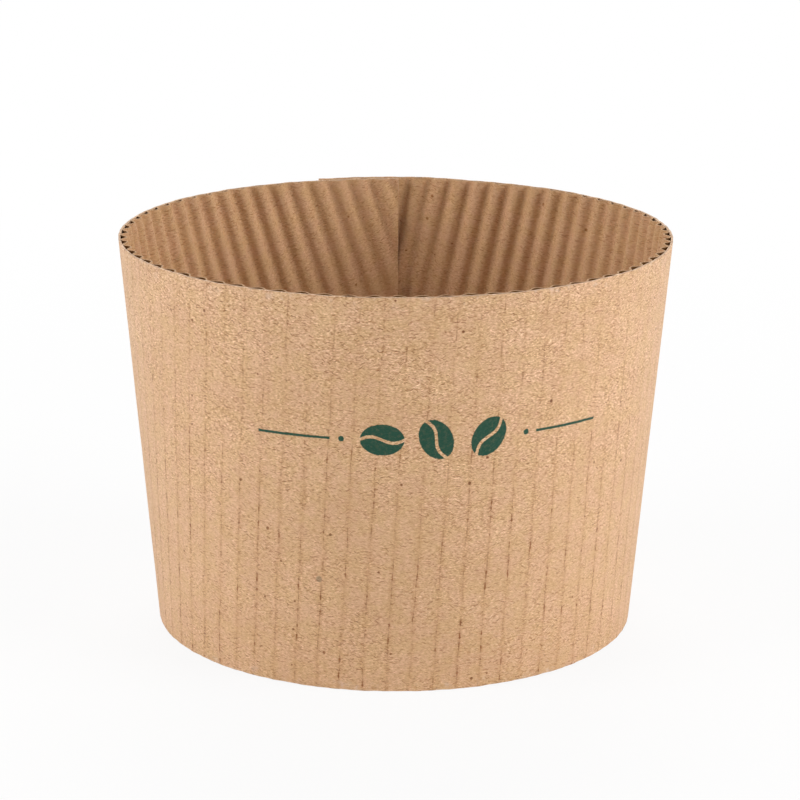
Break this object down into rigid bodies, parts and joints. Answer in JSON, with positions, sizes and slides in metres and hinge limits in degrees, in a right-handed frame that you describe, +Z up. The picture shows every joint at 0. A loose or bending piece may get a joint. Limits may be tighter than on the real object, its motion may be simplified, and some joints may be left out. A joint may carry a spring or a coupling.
{
  "type": "coffee cup sleeve",
  "caption": "Tapered kraft sleeve of single-face corrugated board, lap-glued into a cone, that slips over a takeaway coffee cup to keep the heat off the hand",
  "frame": {"origin": "on the sleeve's axis, in the plane of its bottom edge", "axes": "+Z up along the axis to the wide end, -Y the middle of the blank (its front), +Y the glued lap at the back"},
  "size_m": [0.082, 0.083, 0.0587],
  "materials": {
    "kraft_liner": "matt unbleached kraft",
    "kraft_medium": "matt unbleached kraft, corrugated",
    "glue": "dried glue"
  },
  "bodies": {
    "root": {"outer_liner": "kraft_liner", "fluted_medium": "kraft_medium", "seam_glue": "glue"}
  },
  "joints": []
}
